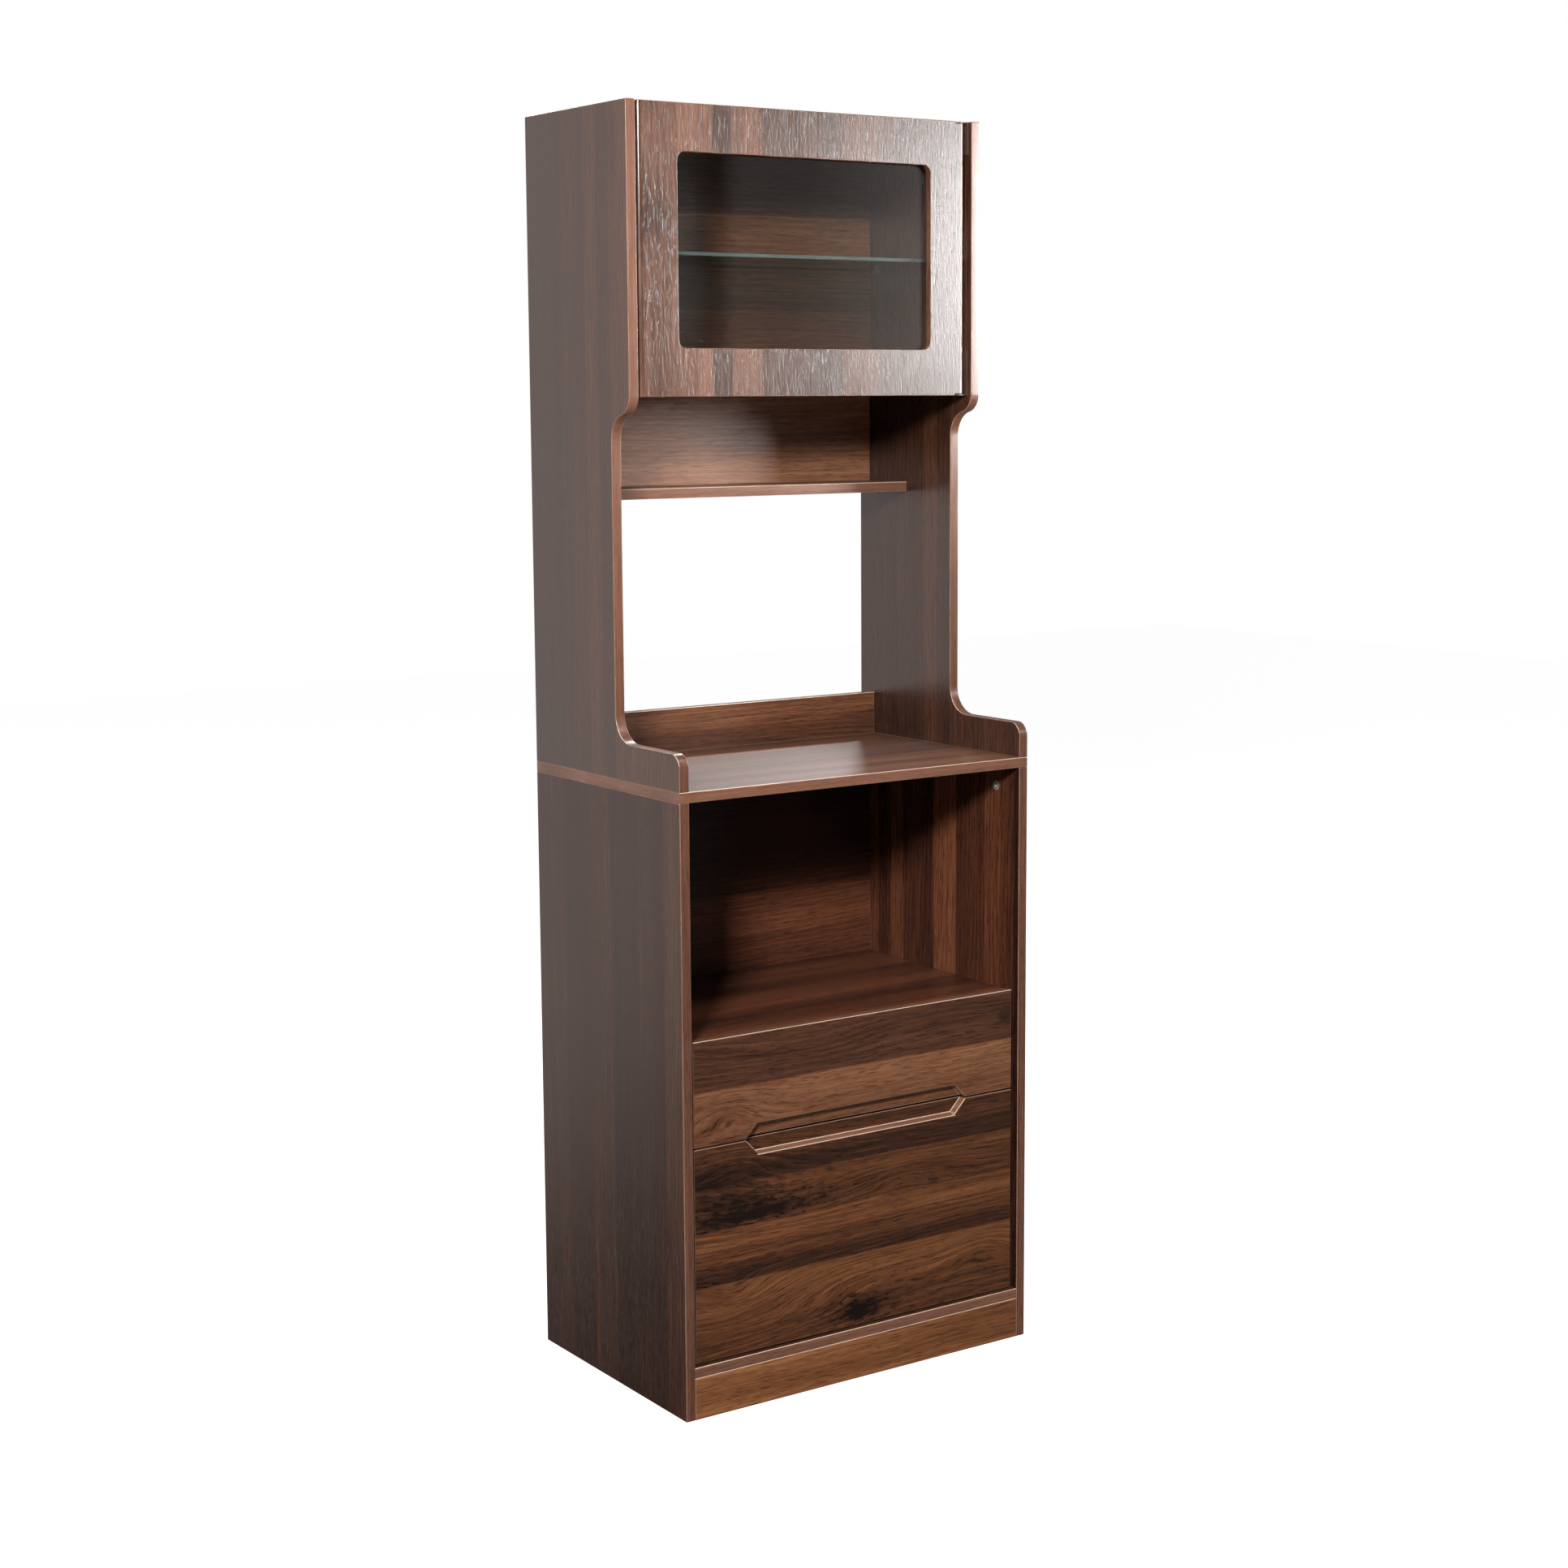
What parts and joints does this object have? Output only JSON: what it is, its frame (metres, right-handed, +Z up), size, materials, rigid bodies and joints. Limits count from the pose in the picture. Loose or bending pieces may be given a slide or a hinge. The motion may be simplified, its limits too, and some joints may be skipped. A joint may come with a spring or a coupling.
{
  "type": "kitchen hutch",
  "caption": "Tall walnut kitchen hutch: drawer base with an open microwave bay, worktop, and an upper cabinet with a framed glass door over an open shelf.",
  "frame": {"origin": "on the floor, in the middle of the hutch's footprint", "axes": "+Z up, -Y towards the front, +X to the right seen from the front"},
  "size_m": [0.6, 0.395, 1.8],
  "materials": {
    "walnut_sides": "satin walnut laminate, upright grain",
    "walnut_boards": "satin walnut laminate, level grain",
    "walnut_door": "glossy walnut laminate, upright grain",
    "walnut_fronts": "satin walnut laminate, level grain",
    "drawer_box": "satin foil",
    "beech_dowel": "raw",
    "clear_glass": "clear",
    "clear_plastic": "clear",
    "dark_metal": "satin dark bronze",
    "zinc_steel": "zinc plated"
  },
  "bodies": {
    "cabinet": {"left_side": "walnut_sides", "right_side": "walnut_sides", "kick_board": "walnut_boards", "bottom_board": "walnut_boards", "countertop": "walnut_boards", "lower_back_panel": "walnut_boards", "bay_shelf": "walnut_boards", "hutch_left_side": "walnut_sides", "hutch_right_side": "walnut_sides", "hutch_top": "walnut_boards", "cabinet_floor": "walnut_boards", "hutch_back_panel": "walnut_boards", "shallow_shelf": "walnut_boards", "backsplash_rail": "walnut_boards", "glass_shelf": "clear_glass", "shelf_pins": "clear_plastic", "cam_locks": "zinc_steel", "cam_bolts": "zinc_steel", "dowels": "beech_dowel", "rail_screws": "zinc_steel", "upper_left_cabinet_runner": "zinc_steel", "upper_right_cabinet_runner": "zinc_steel", "lower_left_cabinet_runner": "zinc_steel", "lower_right_cabinet_runner": "zinc_steel", "cabinet_runner_screws": "zinc_steel", "pivot_brackets": "dark_metal", "pivot_bracket_screws": "dark_metal", "magnetic_catch": "dark_metal", "catch_screws": "zinc_steel"},
    "door": {"door_frame": "walnut_door", "door_glass": "clear_glass", "glass_clips": "clear_plastic", "glass_clip_screws": "zinc_steel", "pivot_bushes": "clear_plastic", "door_bumpers": "clear_plastic", "strike_plate": "zinc_steel", "strike_screws": "zinc_steel"},
    "upper_drawer": {"upper_drawer_front": "walnut_fronts", "upper_drawer_left_side": "drawer_box", "upper_drawer_right_side": "drawer_box", "upper_drawer_back": "drawer_box", "upper_drawer_bottom": "drawer_box", "upper_drawer_left_runner": "zinc_steel", "upper_drawer_right_runner": "zinc_steel", "upper_drawer_cam_locks": "zinc_steel", "upper_drawer_cam_bolts": "zinc_steel", "upper_drawer_screws": "zinc_steel", "upper_drawer_runner_screws": "zinc_steel"},
    "lower_drawer": {"lower_drawer_front": "walnut_fronts", "lower_drawer_left_side": "drawer_box", "lower_drawer_right_side": "drawer_box", "lower_drawer_back": "drawer_box", "lower_drawer_bottom": "drawer_box", "lower_drawer_left_runner": "zinc_steel", "lower_drawer_right_runner": "zinc_steel", "lower_drawer_cam_locks": "zinc_steel", "lower_drawer_cam_bolts": "zinc_steel", "lower_drawer_screws": "zinc_steel", "lower_drawer_runner_screws": "zinc_steel"}
  },
  "joints": [
    {"name": "door_hinge", "type": "hinge", "parent": "cabinet", "child": "door", "pos_m": [0.271, -0.066, 1.60275], "axis": [0, 0, 1], "range_deg": [0, 110]},
    {"name": "upper_drawer_slide", "type": "slide", "parent": "cabinet", "child": "upper_drawer", "axis": [0, -1, 0], "range_m": [0, 0.25]},
    {"name": "lower_drawer_slide", "type": "slide", "parent": "cabinet", "child": "lower_drawer", "axis": [0, -1, 0], "range_m": [0, 0.25]}
  ]
}
